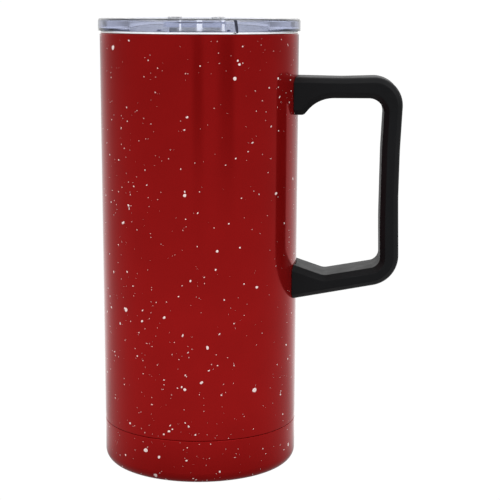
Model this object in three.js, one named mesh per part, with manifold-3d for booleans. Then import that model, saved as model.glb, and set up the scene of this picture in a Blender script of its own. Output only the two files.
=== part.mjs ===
// Insulated travel mug: a double-walled steel cup, painted outside, with a black
// loop handle and a clear press-in lid that has a sliding drink cover.
// Millimetres, +Z up. The origin is on the cup's axis, in the face it stands on.
// The handle is on +X, and the drink hole is on the lid's -Y side.

import * as THREE from 'three'
import { mergeVertices } from 'three/addons/utils/BufferGeometryUtils.js'
import Module from 'manifold-3d'

const wasm = await Module()
wasm.setup()

// ---- driving dimensions ------------------------------------------------------

const GAP = 0.3 // between neighbours that touch on the real mug
const SEGMENTS = 72 // round the cup, the same on every concentric wall
const SMALL_SEGMENTS = 24 // round a screw or a plug
const COARSE_ARC = Math.PI / 4 // largest turn per step on a turned profile
const FINE_ARC = Math.PI / 12 // largest turn per step on the handle
const FAR = 60 // reach of a cutting tool beyond what it cuts

// Steel cup
const BASE_RADIUS = 41.0
const MOUTH_RADIUS = 41.5
const SHELL_TOP = 183.5
const SHEET = 0.5 // steel thickness
const SEAM = 18.9 // height of the groove between shell and base cap
const SKIRT_RADIUS = 39.8 // the shell's neck inside the base cap
const SKIRT_LOW = 6.5
const LINER_RADIUS = 36.5 // inside
const LINER_LOW = 13.0
const LIP_RADIUS = 41.3
const LIP_TOP = 184.5
const LIP_THICK = 0.7 // the rolled lip is thicker than the sheet
const FLOOR = 15.0 // top of the drink space's floor
const FOIL = { low: 24, top: 176, thick: 0.3, clear: 0.4 }
const DISH = { flat: 26, edge: 30, depth: 1.5 } // the pressed step in the vacuum bottom
const GETTER = { radius: 5, height: 1.9, x: -12 }

// Base
const CAP_WALL = 0.8
const CAP_LOW = 0.2 // the painted ring stands just clear of the table
const CAP_EDGE = 6 // radius of the rounded base edge
const PAD_RADIUS = 31
const PAD_HEIGHT = 1.5

// Handle
const HANDLE_WIDTH = 24
const HANDLE_CHAMFER = 2.2
const ARM_ROOT = 34 // the arms' outlines start inside the cup, and are cut back to its wall

// Handle mounts: a curved pad, hidden in the arm's end, with a tongue that the arm slides over
const PAD_THICK = 1.0
const PAD_WIDTH = 15
const PAD_CORNER = 1.5
const TONGUE_WIDTH = 12
const TONGUE_HEIGHT = 2.9
const TONGUE_END = 51.3
const SCREW_X = 47.5
const SCREW_HEAD = { radius: 2.6, height: 1.4 }
const SCREW_RADIUS = 1.5
const PLUG_RADIUS = 2.8
const SCREW_SKIN = 1.1 // plastic between the screw's seat and the tongue's pocket
const MOUNTS = [
  { name: 'upper', low: 153.1, high: 163.7, plugTop: 156.4 },
  { name: 'lower', low: 75.3, high: 85.1, plugTop: 75.3 },
]

// Lid
const RIM_RADIUS = 42.2
const RIM_INNER = 29.8
const RIM_TOP = 189.4
const DECK_TOP = 184.2
const DECK = 2.0
const BOWL_RADIUS = 29.4
const PLUG_WALL_RADIUS = 35.9
const PLUG_WALL_LOW = 176.0
const PLUG_WALL = 2.6
const GROOVE = { low: 178.6, high: 182.2, depth: 1.2 }
const DRINK_HOLE = { y: -19.5, length: 14, width: 8 }
const VENT = { y: 24.5, radius: 1.2 }

// Sliding drink cover
const TRAVEL = 16
const COVER = { halfWidth: 11.6, front: -26, back: 4.5, thick: 1.8, corner: 6 }
const GRIP = { inner: 6.6, outer: 11.0, front: -23, back: -7, top: 190.0, grooves: 4 }
const STEM = { halfWidth: 2.0, front: -2.0, back: 2.5, low: 180.3 }
const SEAL = { halfWidth: 9.4, front: -25.1, back: -13.9, thick: 0.9 }
const CLIP = { halfWidth: 5.5, front: -5.5, back: 6, thick: 1.2 }
const RAIL = { thick: 1.2, front: -24, back: 24, height: 1.8 }

// ---- materials ---------------------------------------------------------------

const finish = (color, roughness, metalness = 0, opacity = 1) =>
  new THREE.MeshStandardMaterial({ color, roughness, metalness, opacity, transparent: opacity < 1 })

const paint = finish(0x8a1414, 0.25)
const steel = finish(0xc8c8c8, 0.3, 1)
const screwSteel = finish(0x9a9a9a, 0.35, 1)
const foil = finish(0xd8d0c4, 0.2, 1)
const blackPlastic = finish(0x141414, 0.5)
const rubber = finish(0x1c1c1c, 0.8)
const silicone = finish(0xd6d8dc, 0.6)
const clearPlastic = finish(0xb4bccc, 0.1, 0, 0.4)

// ---- shape tools -------------------------------------------------------------

// A polyline through corners [x, y, radius], each turned with a tangent arc.
function rounded(corners, { closed = true, step = COARSE_ARC } = {}) {
  const count = corners.length
  const points = []
  corners.forEach(([x, y, radius = 0], i) => {
    const corner = new THREE.Vector2(x, y)
    const atEnd = !closed && (i === 0 || i === count - 1)
    if (!radius || atEnd) {
      points.push(corner)
      return
    }
    const before = new THREE.Vector2(...corners[(i + count - 1) % count]).sub(corner).normalize()
    const after = new THREE.Vector2(...corners[(i + 1) % count]).sub(corner).normalize()
    const half = Math.acos(THREE.MathUtils.clamp(before.dot(after), -1, 1)) / 2
    const turn = Math.PI - 2 * half
    const bisector = before.clone().add(after).normalize()
    const centre = corner.clone().addScaledVector(bisector, radius / Math.sin(half))
    const start = corner.clone().addScaledVector(before, radius / Math.tan(half)).sub(centre)
    const sense = Math.sign(before.cross(after)) * -1
    const steps = Math.max(1, Math.ceil(turn / step - 1e-6))
    for (let k = 0; k <= steps; k++) {
      points.push(start.clone().rotateAround(new THREE.Vector2(), (sense * turn * k) / steps).add(centre))
    }
  })
  return points
}

// Turns a profile of [radius, height, fillet] corners about the Z axis.
function turned(corners, { ring = false, segments = SEGMENTS } = {}) {
  const profile = rounded(corners, { closed: ring })
  if (ring) profile.push(profile[0].clone())
  return new THREE.LatheGeometry(profile, segments).rotateX(Math.PI / 2)
}

function rectangle(x0, y0, x1, y1, radius, step) {
  return rounded([[x0, y0, radius], [x1, y0, radius], [x1, y1, radius], [x0, y1, radius]], { step })
}

// A flat plate between two heights, from an outline in XY.
function plate(outline, low, high) {
  const settings = { depth: high - low, bevelEnabled: false }
  return new THREE.ExtrudeGeometry(new THREE.Shape(outline), settings).translate(0, 0, low)
}

function block(x0, y0, z0, x1, y1, z1) {
  return plate(rectangle(x0, y0, x1, y1, 0), z0, z1)
}

function post(radius, low, high, x = 0, y = 0) {
  const profile = [[0, low], [radius, low], [radius, high], [0, high]]
  return turned(profile, { segments: SMALL_SEGMENTS }).translate(x, y, 0)
}

// Booleans: a geometry becomes a Manifold solid, and the result a geometry again.
function solid(geometry) {
  const bare = geometry.clone().deleteAttribute('normal').deleteAttribute('uv')
  const merged = mergeVertices(bare, 1e-4)
  const vertProperties = new Float32Array(merged.attributes.position.array)
  const triVerts = new Uint32Array(merged.index.array)
  return new wasm.Manifold(new wasm.Mesh({ numProp: 3, vertProperties, triVerts }))
}

function geometryOf(manifold) {
  const { vertProperties, triVerts } = manifold.getMesh()
  const geometry = new THREE.BufferGeometry()
  geometry.setAttribute('position', new THREE.BufferAttribute(vertProperties, 3))
  geometry.setIndex(new THREE.BufferAttribute(triVerts, 1))
  geometry.computeVertexNormals()
  return geometry
}

const without = (body, tools) => tools.reduce((left, tool) => left.subtract(solid(tool)), body)
const joined = (body, parts) => parts.reduce((whole, part) => whole.add(solid(part)), body)

function piece(name, geometry, material) {
  const mesh = new THREE.Mesh(geometry, material)
  mesh.name = name
  return mesh
}

// ---- steel cup ---------------------------------------------------------------

const bodyRadius = (z) => BASE_RADIUS + ((MOUTH_RADIUS - BASE_RADIUS) * z) / SHELL_TOP

function outerShell() {
  const low = SEAM + GAP
  const neck = LINER_RADIUS + SHEET + GAP
  return turned([
    [SKIRT_RADIUS, SKIRT_LOW],
    [SKIRT_RADIUS, low],
    [bodyRadius(low), low, 0.4],
    [MOUTH_RADIUS, SHELL_TOP, 1],
    [neck, SHELL_TOP],
    [neck, SHELL_TOP - SHEET],
    [MOUTH_RADIUS - SHEET, SHELL_TOP - SHEET],
    [bodyRadius(low) - SHEET, low + SHEET],
    [SKIRT_RADIUS - SHEET, low + SHEET],
    [SKIRT_RADIUS - SHEET, SKIRT_LOW],
  ], { ring: true })
}

function innerLiner() {
  const outer = LINER_RADIUS + SHEET
  return turned([
    [outer, LINER_LOW],
    [outer, LIP_TOP - LIP_THICK],
    [LIP_RADIUS, LIP_TOP - LIP_THICK],
    [LIP_RADIUS, LIP_TOP, 0.3],
    [LINER_RADIUS, LIP_TOP, 1.2],
    [LINER_RADIUS, LINER_LOW],
  ], { ring: true })
}

// A disc with a turned-down edge, pressed into the liner's lower end.
function linerBottom() {
  const edge = LINER_RADIUS - GAP
  return turned([
    [0, FLOOR - SHEET],
    [edge - 3, FLOOR - SHEET],
    [edge - 1, LINER_LOW],
    [edge, LINER_LOW],
    [edge, LINER_LOW + 1],
    [edge - 2, FLOOR],
    [0, FLOOR],
  ])
}

// A dished disc that closes the outer shell.
function vacuumBottom() {
  const rim = SKIRT_RADIUS - SHEET - GAP
  const low = SKIRT_LOW
  const { flat, edge, depth } = DISH
  return turned([
    [0, low + depth],
    [flat - SHEET, low + depth],
    [edge - SHEET, low],
    [rim, low],
    [rim, low + SHEET],
    [edge, low + SHEET],
    [flat, low + SHEET + depth],
    [0, low + SHEET + depth],
  ])
}

function getter() {
  const low = SKIRT_LOW + SHEET + DISH.depth + GAP
  const high = low + GETTER.height
  const profile = [[0, low], [GETTER.radius, low, 0.5], [GETTER.radius, high, 0.5], [0, high]]
  return turned(profile, { segments: SMALL_SEGMENTS }).translate(GETTER.x, 0, 0)
}

function foilWrap() {
  const inner = LINER_RADIUS + SHEET + FOIL.clear
  const outer = inner + FOIL.thick
  return turned([[outer, FOIL.low], [outer, FOIL.top], [inner, FOIL.top], [inner, FOIL.low]], { ring: true })
}

// ---- base --------------------------------------------------------------------

function baseCap() {
  const top = SEAM - GAP
  const recess = PAD_RADIUS + GAP
  const roof = PAD_HEIGHT + GAP
  return turned([
    [0, roof],
    [recess, roof],
    [recess, CAP_LOW],
    [BASE_RADIUS, CAP_LOW, CAP_EDGE],
    [bodyRadius(top), top, 0.4],
    [bodyRadius(top) - CAP_WALL, top],
    [BASE_RADIUS - CAP_WALL, CAP_LOW + CAP_WALL, CAP_EDGE - CAP_WALL],
    [recess + CAP_WALL, CAP_LOW + CAP_WALL],
    [recess + CAP_WALL, roof + CAP_WALL],
    [0, roof + CAP_WALL],
  ])
}

function footPad() {
  return turned([[0, 0], [PAD_RADIUS - 0.3, 0], [PAD_RADIUS, 0.3], [PAD_RADIUS, PAD_HEIGHT], [0, PAD_HEIGHT]])
}

// ---- handle and its mounts ---------------------------------------------------

// The loop's side view as [x, z, corner radius], from the upper arm's underside round the
// finger opening, then back along the outside.
const HANDLE_OUTLINE = [
  [ARM_ROOT, 150.1],
  [44.0, 150.1],
  [49.9, 157.1, 14],
  [77.3, 157.1, 6.3],
  [76.4, 135.5, 150],
  [76.1, 106.5, 200],
  [76.5, 86.9, 4.5],
  [52.9, 82.8, 6],
  [ARM_ROOT, 89.3],
  [ARM_ROOT, 71.4],
  [84.4, 80.8, 12.7],
  [83.7, 116.0, 150],
  [83.9, 135.5, 150],
  [85.3, 166.2, 11.8],
  [60.0, 165.4, 60],
  [ARM_ROOT, 165.9],
]

function handleBlank() {
  const outline = rounded(HANDLE_OUTLINE, { step: FINE_ARC })
  const flat = HANDLE_WIDTH - 2 * HANDLE_CHAMFER
  const settings = {
    depth: flat,
    bevelEnabled: true,
    bevelSegments: 1,
    bevelThickness: HANDLE_CHAMFER,
    bevelSize: HANDLE_CHAMFER,
    bevelOffset: -HANDLE_CHAMFER,
  }
  const loop = new THREE.ExtrudeGeometry(new THREE.Shape(outline), settings)
  return solid(loop.translate(0, 0, -flat / 2).rotateX(Math.PI / 2))
}

// The cup's outline, a distance out from its wall.
function cupSpace(reach) {
  const low = 60
  const high = 175
  return turned([[0, low], [bodyRadius(low) + reach, low], [bodyRadius(high) + reach, high], [0, high]])
}

// Looks through the cup's +X side at one mount's pad, grown by a margin all round.
function padWindow({ low, high }, margin) {
  const half = PAD_WIDTH / 2 + margin
  const face = rectangle(-half, low - margin, half, high + margin, PAD_CORNER + margin, FINE_ARC * 2)
  return plate(face, 0, FAR).rotateX(Math.PI / 2).rotateZ(Math.PI / 2)
}

// The recess in an arm's end that hides the pad.
function padSpace(mount) {
  const reach = GAP + PAD_THICK + GAP
  return geometryOf(solid(cupSpace(reach)).intersect(solid(padWindow(mount, GAP))))
}

// Heights of one mount's stack, from the plug up to the tongue.
function stack({ plugTop }) {
  const head = plugTop + GAP
  const seat = head + SCREW_HEAD.height + GAP
  const pocket = seat + SCREW_SKIN
  const tongue = pocket + GAP
  return { head, seat, pocket, tongue, tongueTop: tongue + TONGUE_HEIGHT }
}

function armTools(mount) {
  const { seat, pocket, tongueTop } = stack(mount)
  const half = TONGUE_WIDTH / 2 + GAP
  return [
    padSpace(mount),
    block(ARM_ROOT - 1, -half, pocket, TONGUE_END + GAP, half, tongueTop + GAP),
    post(SCREW_RADIUS + GAP, seat - 1, pocket + 1, SCREW_X),
    post(PLUG_RADIUS + GAP, seat - 12, seat, SCREW_X),
  ]
}

function handle(blank) {
  return geometryOf(without(blank, [cupSpace(GAP), ...MOUNTS.flatMap(armTools)]))
}

function mountBracket(mount) {
  const { tongue, tongueTop } = stack(mount)
  const { low, high } = mount
  const inner = (z) => bodyRadius(z) + GAP
  const outer = (z) => inner(z) + PAD_THICK
  const sleeve = turned([
    [inner(low), low - 1],
    [outer(low), low - 1],
    [outer(high), high + 1],
    [inner(high), high + 1],
  ], { ring: true })
  const tongueRoot = bodyRadius(high) + GAP + PAD_THICK * 0.6
  const half = TONGUE_WIDTH / 2
  const bar = block(tongueRoot, -half, tongue, TONGUE_END, half, tongueTop)
  const bracket = joined(solid(sleeve).intersect(solid(padWindow(mount, 0))), [bar])
  const hole = post(SCREW_RADIUS + GAP, tongue - 1, tongueTop + 1, SCREW_X)
  return geometryOf(without(bracket, [hole]))
}

function screw(mount) {
  const { head, seat, tongueTop } = stack(mount)
  const headTop = seat - GAP
  const body = turned([
    [0, head],
    [SCREW_HEAD.radius, head, 0.4],
    [SCREW_HEAD.radius, headTop],
    [SCREW_RADIUS, headTop],
    [SCREW_RADIUS, tongueTop - GAP],
    [0, tongueTop - GAP],
  ], { segments: SMALL_SEGMENTS })
  const arm = 1.5
  const slit = 0.35
  const depth = 0.7
  const cross = [
    block(-arm, -slit, head - 1, arm, slit, head + depth),
    block(-slit, -arm, head - 1, slit, arm, head + depth),
  ]
  return geometryOf(without(solid(body), cross)).translate(SCREW_X, 0, 0)
}

function screwPlug(mount, blank) {
  const core = post(PLUG_RADIUS, mount.plugTop - 10, mount.plugTop, SCREW_X)
  return geometryOf(solid(core).intersect(blank))
}

// ---- lid ---------------------------------------------------------------------

function lidBlank() {
  const seat = LIP_TOP + GAP
  const grooveRadius = PLUG_WALL_RADIUS - GROOVE.depth
  return turned([
    [0, DECK_TOP],
    [BOWL_RADIUS, DECK_TOP, 0.8],
    [RIM_INNER, RIM_TOP, 0.5],
    [RIM_RADIUS, RIM_TOP, 1.3],
    [RIM_RADIUS, seat, 0.5],
    [PLUG_WALL_RADIUS, seat],
    [PLUG_WALL_RADIUS, GROOVE.high],
    [grooveRadius, GROOVE.high],
    [grooveRadius, GROOVE.low],
    [PLUG_WALL_RADIUS, GROOVE.low],
    [PLUG_WALL_RADIUS, PLUG_WALL_LOW, 0.6],
    [PLUG_WALL_RADIUS - PLUG_WALL, PLUG_WALL_LOW],
    [PLUG_WALL_RADIUS - PLUG_WALL, DECK_TOP - DECK, 0.8],
    [0, DECK_TOP - DECK],
  ].reverse())
}

function lidBody() {
  const { y, length, width } = DRINK_HOLE
  const hole = rectangle(-length / 2, y - width / 2, length / 2, y + width / 2, width / 2 - 0.01)
  const slotHalf = STEM.halfWidth + GAP + 0.1
  const railInner = COVER.halfWidth + GAP + 0.1
  const railTop = DECK_TOP + RAIL.height
  const rails = [-1, 1].map((side) => {
    const sides = [side * railInner, side * (railInner + RAIL.thick)].sort((a, b) => a - b)
    return block(sides[0], RAIL.front, DECK_TOP - 0.5, sides[1], RAIL.back, railTop)
  })
  return geometryOf(without(joined(solid(lidBlank()), rails), [
    plate(hole, DECK_TOP - DECK - 1, DECK_TOP + 1),
    block(-slotHalf, STEM.front - 0.5, DECK_TOP - DECK - 1, slotHalf, STEM.back + TRAVEL + 0.5, DECK_TOP + 1),
    post(VENT.radius, DECK_TOP - DECK - 1, DECK_TOP + 1, 0, VENT.y),
  ]))
}

// A ring with two soft ribs that press on the liner.
function lidGasket() {
  const back = PLUG_WALL_RADIUS - GROOVE.depth + GAP
  const face = PLUG_WALL_RADIUS - 0.2
  const rib = LINER_RADIUS - GAP
  const low = GROOVE.low + GAP
  const high = GROOVE.high - GAP
  return turned([
    [back, low],
    [face, low],
    [rib, low + 0.7],
    [face, low + 1.3],
    [face, high - 1.3],
    [rib, high - 0.7],
    [face, high],
    [back, high],
  ], { ring: true })
}

const COVER_LOW = DECK_TOP + GAP + SEAL.thick + GAP
const COVER_TOP = COVER_LOW + COVER.thick

function slider() {
  const { halfWidth, front, back, corner } = COVER
  const board = plate(rectangle(-halfWidth, front, halfWidth, back, corner), COVER_LOW, COVER_TOP)
  const stem = block(-STEM.halfWidth, STEM.front, STEM.low, STEM.halfWidth, STEM.back, COVER_LOW + 0.5)
  const grips = [-1, 1].map((side) => {
    const middle = (side * (GRIP.inner + GRIP.outer)) / 2
    const half = (GRIP.outer - GRIP.inner) / 2
    const outline = rectangle(middle - half, GRIP.front, middle + half, GRIP.back, 1.5)
    return plate(outline, COVER_TOP - 0.5, GRIP.top)
  })
  const pitch = (GRIP.back - GRIP.front) / (GRIP.grooves + 1)
  const grooves = Array.from({ length: GRIP.grooves }, (_, i) => {
    const y = GRIP.front + pitch * (i + 1)
    return block(-GRIP.outer - 1, y - 0.6, GRIP.top - 0.6, GRIP.outer + 1, y + 0.6, GRIP.top + 1)
  })
  return geometryOf(without(joined(solid(board), [stem, ...grips]), grooves))
}

function sliderSeal() {
  const low = DECK_TOP + GAP
  return plate(rectangle(-SEAL.halfWidth, SEAL.front, SEAL.halfWidth, SEAL.back, 4), low, low + SEAL.thick)
}

function sliderClip() {
  const high = DECK_TOP - DECK - GAP - 0.1
  const low = high - CLIP.thick
  const ring = plate(rectangle(-CLIP.halfWidth, CLIP.front, CLIP.halfWidth, CLIP.back, 2), low, high)
  const half = STEM.halfWidth + GAP
  const hole = block(-half, STEM.front - GAP, low - 1, half, STEM.back + GAP, high + 1)
  return geometryOf(without(solid(ring), [hole]))
}

// ---- assembly ----------------------------------------------------------------

const mug = new THREE.Group()
const blank = handleBlank()

mug.add(
  piece('outer_shell', outerShell(), paint),
  piece('inner_liner', innerLiner(), steel),
  piece('liner_bottom', linerBottom(), steel),
  piece('vacuum_bottom', vacuumBottom(), steel),
  piece('getter', getter(), steel),
  piece('foil_wrap', foilWrap(), foil),
  piece('base_cap', baseCap(), paint),
  piece('foot_pad', footPad(), rubber),
  piece('handle', handle(blank), blackPlastic),
)

for (const mount of MOUNTS) {
  mug.add(
    piece(`mount_${mount.name}`, mountBracket(mount), paint),
    piece(`screw_${mount.name}`, screw(mount), screwSteel),
    piece(`plug_${mount.name}`, screwPlug(mount, blank), rubber),
  )
}

mug.add(
  piece('lid_body', lidBody(), clearPlastic),
  piece('lid_gasket', lidGasket(), silicone),
  piece('slider', slider(), clearPlastic),
  piece('slider_seal', sliderSeal(), silicone),
  piece('slider_clip', sliderClip(), clearPlastic),
)

export default mug
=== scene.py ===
"""Insulated travel mug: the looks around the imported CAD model.

Every piece is made in millimetres in the CAD frame (+Z up, the cup's axis at X = Y = 0, the
handle on +X, the lid's drink hole on -Y) and stored in metres.
"""

import bisect
import math
import random

import bmesh
import bpy
from mathutils import Matrix, Vector


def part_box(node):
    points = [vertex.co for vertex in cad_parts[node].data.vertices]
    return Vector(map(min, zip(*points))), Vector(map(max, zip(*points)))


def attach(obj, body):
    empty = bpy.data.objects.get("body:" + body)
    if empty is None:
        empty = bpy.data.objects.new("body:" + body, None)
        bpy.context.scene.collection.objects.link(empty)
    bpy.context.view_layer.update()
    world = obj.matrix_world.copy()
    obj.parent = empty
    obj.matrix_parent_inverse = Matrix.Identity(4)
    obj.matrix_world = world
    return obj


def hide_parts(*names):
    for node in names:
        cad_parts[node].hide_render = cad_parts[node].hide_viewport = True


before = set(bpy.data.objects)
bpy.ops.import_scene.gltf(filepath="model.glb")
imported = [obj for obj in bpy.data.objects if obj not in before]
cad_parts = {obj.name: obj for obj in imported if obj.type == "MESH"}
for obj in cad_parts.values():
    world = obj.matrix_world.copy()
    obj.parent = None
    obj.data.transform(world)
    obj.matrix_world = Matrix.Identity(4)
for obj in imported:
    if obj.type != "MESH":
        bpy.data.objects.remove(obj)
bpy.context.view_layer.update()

MM = 0.001


# ---- sizes, in millimetres, read from the frame -----------------------------------

def corner(node, which, axis):
    """One coordinate of a CAD node's box, in millimetres: which is 0 for low, 1 for high."""
    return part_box(node)[which]["xyz".index(axis)] / MM


BASE_RADIUS = corner("base_cap", 1, "y")
MOUTH_RADIUS = corner("outer_shell", 1, "y")
SHELL_TOP = corner("outer_shell", 1, "z")
CAP_TOP = corner("base_cap", 1, "z")
CAP_LOW = corner("base_cap", 0, "z")
PAD_RADIUS = corner("foot_pad", 1, "y")
PAD_TOP = corner("foot_pad", 1, "z")
LINER_LOW = corner("inner_liner", 0, "z")
LIP_RADIUS = corner("inner_liner", 1, "y")
LIP_TOP = corner("inner_liner", 1, "z")
RIM_RADIUS = corner("lid_body", 1, "y")
RIM_TOP = corner("lid_body", 1, "z")
PLUG_WALL_LOW = corner("lid_body", 0, "z")
GRIP_TOP = corner("slider", 1, "z")
STEM_LOW = corner("slider", 0, "z")
HANDLE_HALF = corner("handle", 1, "y")

PLAY = 0.3  # between pieces that touch on the real mug
SEAM = CAP_TOP + PLAY  # height of the groove between the shell and the base cap
SEAM_HALF = 0.14  # half of the groove's visible width
SHEET = 0.5
CAP_EDGE = 5.0  # radius of the rounded base edge
LINER_RADIUS = 36.5
ARM_GAP = 0.2  # between the arms' ends and the body
LID_SEAT = LIP_TOP - 0.30  # underside of the lid's rim
FINE = 288  # steps round the cup
LID_FINE = 240  # steps round the lid and its gasket
ROUGH = 96  # steps round the studio's discs
CREASE = 35.0  # faces that meet at more than this, in degrees, keep a sharp edge


def body_radius(z):
    """The cup tapers a little towards its base."""
    return BASE_RADIUS + (MOUTH_RADIUS - BASE_RADIUS) * z / SHELL_TOP


# ---- shape tools --------------------------------------------------------------------

def rounded(corners, step=10.0, closed=True, counts=None):
    """A polyline through corners (x, y, radius), each turned with a tangent arc.

    counts, if given, holds the number of steps in each corner's arc; otherwise step sets them.
    """
    points = []
    for i, (x, y, radius) in enumerate(corners):
        here = Vector((x, y))
        if radius <= 0 or (not closed and i in (0, len(corners) - 1)):
            points.append(here)
            continue
        before, after, half = corner_directions(corners, i)
        turn = math.pi - 2 * half
        centre = here + (before + after).normalized() * (radius / math.sin(half))
        start = here + before * (radius / math.tan(half)) - centre
        sense = -1 if before.cross(after) > 0 else 1
        steps = counts[i] if counts else arc_steps(turn, step)
        for k in range(steps + 1):
            a = sense * turn * k / steps
            c, s = math.cos(a), math.sin(a)
            points.append(centre + Vector((c * start.x - s * start.y, s * start.x + c * start.y)))
    return points


def corner_directions(corners, i):
    """Unit vectors from a corner towards its neighbours, and half the angle between them."""
    here = Vector(corners[i][:2])
    before = (Vector(corners[i - 1][:2]) - here).normalized()
    after = (Vector(corners[(i + 1) % len(corners)][:2]) - here).normalized()
    return before, after, math.acos(max(-1.0, min(1.0, before.dot(after)))) / 2


def arc_steps(turn, step):
    return max(1, math.ceil(math.degrees(turn) / step - 1e-6))


def add_object(name, verts, faces, crease=CREASE):
    """A mesh object from millimetre vertices, smooth except across sharp edges."""
    mesh = bpy.data.meshes.new(name)
    mesh.from_pydata([Vector(v) * MM for v in verts], [], faces)
    mesh.validate()
    obj = bpy.data.objects.new(name, mesh)
    bpy.context.scene.collection.objects.link(obj)
    tidy_mesh(obj, crease)
    return obj


def tidy_mesh(obj, crease):
    """Merges doubles, points the faces outward and sets smooth shading."""
    work = bmesh.new()
    work.from_mesh(obj.data)
    bmesh.ops.remove_doubles(work, verts=work.verts, dist=1e-7)
    bmesh.ops.recalc_face_normals(work, faces=work.faces)
    work.to_mesh(obj.data)
    work.free()
    obj.data.shade_smooth()
    obj.data.set_sharp_from_angle(angle=math.radians(crease))


def revolve(name, corners, ring=False, segments=FINE, step=10.0):
    """Turns a profile of (radius, height, fillet) corners about the cup's axis."""
    profile = rounded(corners, step, closed=ring)
    verts, rows = [], []
    for r, z in profile:
        if r < 1e-6:
            rows.append([len(verts)] * segments)
            verts.append((0, 0, z))
            continue
        rows.append(range(len(verts), len(verts) + segments))
        for k in range(segments):
            a = 2 * math.pi * k / segments
            verts.append((r * math.cos(a), r * math.sin(a), z))
    pairs = list(zip(rows, rows[1:]))
    if ring:
        pairs.append((rows[-1], rows[0]))
    faces = []
    for low, high in pairs:
        for k in range(segments):
            n = (k + 1) % segments
            loop = list(dict.fromkeys((low[k], low[n], high[n], high[k])))
            if len(loop) > 2:
                faces.append(loop)
    return add_object(name, verts, faces)


def prism(name, outline, low, high):
    """A plate between two heights from an XY outline."""
    count = len(outline)
    verts = [(p[0], p[1], z) for z in (low, high) for p in outline]
    faces = [list(range(count))[::-1], list(range(count, 2 * count))]
    faces += [[k, (k + 1) % count, count + (k + 1) % count, count + k] for k in range(count)]
    return add_object(name, verts, faces)


def rectangle(x0, y0, x1, y1, radius=0.0):
    return rounded([(x0, y0, radius), (x1, y0, radius), (x1, y1, radius), (x0, y1, radius)])


def block(name, low, high, radius=0.0):
    """A box between two corners, its upright edges rounded."""
    return prism(name, rectangle(*low[:2], *high[:2], radius), low[2], high[2])


def post(name, radius, low, high, x=0.0, y=0.0):
    obj = revolve(name, [(0, low, 0), (radius, low, 0), (radius, high, 0), (0, high, 0)], segments=64)
    obj.data.transform(Matrix.Translation((x * MM, y * MM, 0)))
    return obj


def bake_modifiers(obj):
    """Applies the object's modifiers to its mesh."""
    bpy.context.view_layer.update()
    shown = obj.evaluated_get(bpy.context.evaluated_depsgraph_get())
    mesh = bpy.data.meshes.new_from_object(shown)
    obj.modifiers.clear()
    obj.data = mesh


def weigh_normals(obj):
    """Shades large faces flat right up to their edges, so only the small faces between them turn."""
    obj.modifiers.new("weigh", "WEIGHTED_NORMAL").keep_sharp = True
    bake_modifiers(obj)


def soften(obj, width):
    """Rounds the object's sharp edges."""
    bevel = obj.modifiers.new("bevel", "BEVEL")
    bevel.width = width * MM
    bevel.segments = 2
    bevel.limit_method = "ANGLE"
    bevel.angle_limit = math.radians(30)
    bake_modifiers(obj)
    tidy_mesh(obj, CREASE)


def combine(obj, tools, operation="DIFFERENCE", crease=CREASE):
    """Cuts the tools out of obj, or joins them to it, and removes them."""
    for tool in tools:
        step = obj.modifiers.new("combine", "BOOLEAN")
        step.operation = operation
        step.solver = "EXACT"
        step.object = tool
    bake_modifiers(obj)
    tidy_mesh(obj, crease)
    for tool in tools:
        bpy.data.objects.remove(tool)
    return obj


# ---- materials ----------------------------------------------------------------------

NOISE_RANGE = (0.3, 0.7)  # where nearly all of a noise texture's values lie


class Finish:
    """A node material with one Principled shader, and short calls for what varies over it."""

    def __init__(self, name, **constants):
        self.material = bpy.data.materials.new(name)
        self.material.use_nodes = True
        self.nodes = self.material.node_tree.nodes
        self.links = self.material.node_tree.links
        self.shader = self.nodes["Principled BSDF"]
        for label, value in constants.items():
            self.shader.inputs[label.replace("_", " ")].default_value = value
        self.place = self.nodes.new("ShaderNodeTexCoord").outputs["Object"]

    def stretched(self, scale):
        """Object coordinates scaled along X, Y and Z."""
        node = self.nodes.new("ShaderNodeMapping")
        node.inputs["Scale"].default_value = scale
        self.links.new(self.place, node.inputs["Vector"])
        return node.outputs["Vector"]

    def noise(self, scale, detail=3.0, roughness=0.55, vector=None):
        node = self.nodes.new("ShaderNodeTexNoise")
        node.inputs["Scale"].default_value = scale
        node.inputs["Detail"].default_value = detail
        node.inputs["Roughness"].default_value = roughness
        self.links.new(vector or self.place, node.inputs["Vector"])
        return node.outputs["Fac"]

    def spread(self, value, low, high):
        """Maps a noise value to a range."""
        node = self.nodes.new("ShaderNodeMapRange")
        node.inputs["From Min"].default_value, node.inputs["From Max"].default_value = NOISE_RANGE
        node.inputs["To Min"].default_value, node.inputs["To Max"].default_value = low, high
        self.links.new(value, node.inputs["Value"])
        return node.outputs["Result"]

    def colours(self, value, *pair):
        """Maps a noise value to the colours between two."""
        node = self.nodes.new("ShaderNodeValToRGB")
        for element, position, colour in zip(node.color_ramp.elements, NOISE_RANGE, pair):
            element.position = position
            element.color = (*colour, 1)
        self.links.new(value, node.inputs["Fac"])
        return node.outputs["Color"]

    def bump(self, height, distance):
        node = self.nodes.new("ShaderNodeBump")
        node.inputs["Distance"].default_value = distance
        self.links.new(height, node.inputs["Height"])
        return node.outputs["Normal"]

    def set(self, **sources):
        for label, source in sources.items():
            self.links.new(source, self.shader.inputs[label.replace("_", " ")])
        return self.material


def red_paint():
    """Red lacquer over bright metal flake, with a faint mottle and a faint orange peel."""
    f = Finish("red_paint", IOR=1.2, Metallic=0.5)
    mottle = f.noise(60, 4)
    red = f.colours(mottle, (0.355, 0.0072, 0.0070), (0.385, 0.0080, 0.0078))
    gloss = f.spread(f.noise(25, 3), 0.07, 0.12)
    peel = f.bump(f.noise(900, 2), 0.000004)
    return f.set(Base_Color=red, Roughness=gloss, Normal=peel)


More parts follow.
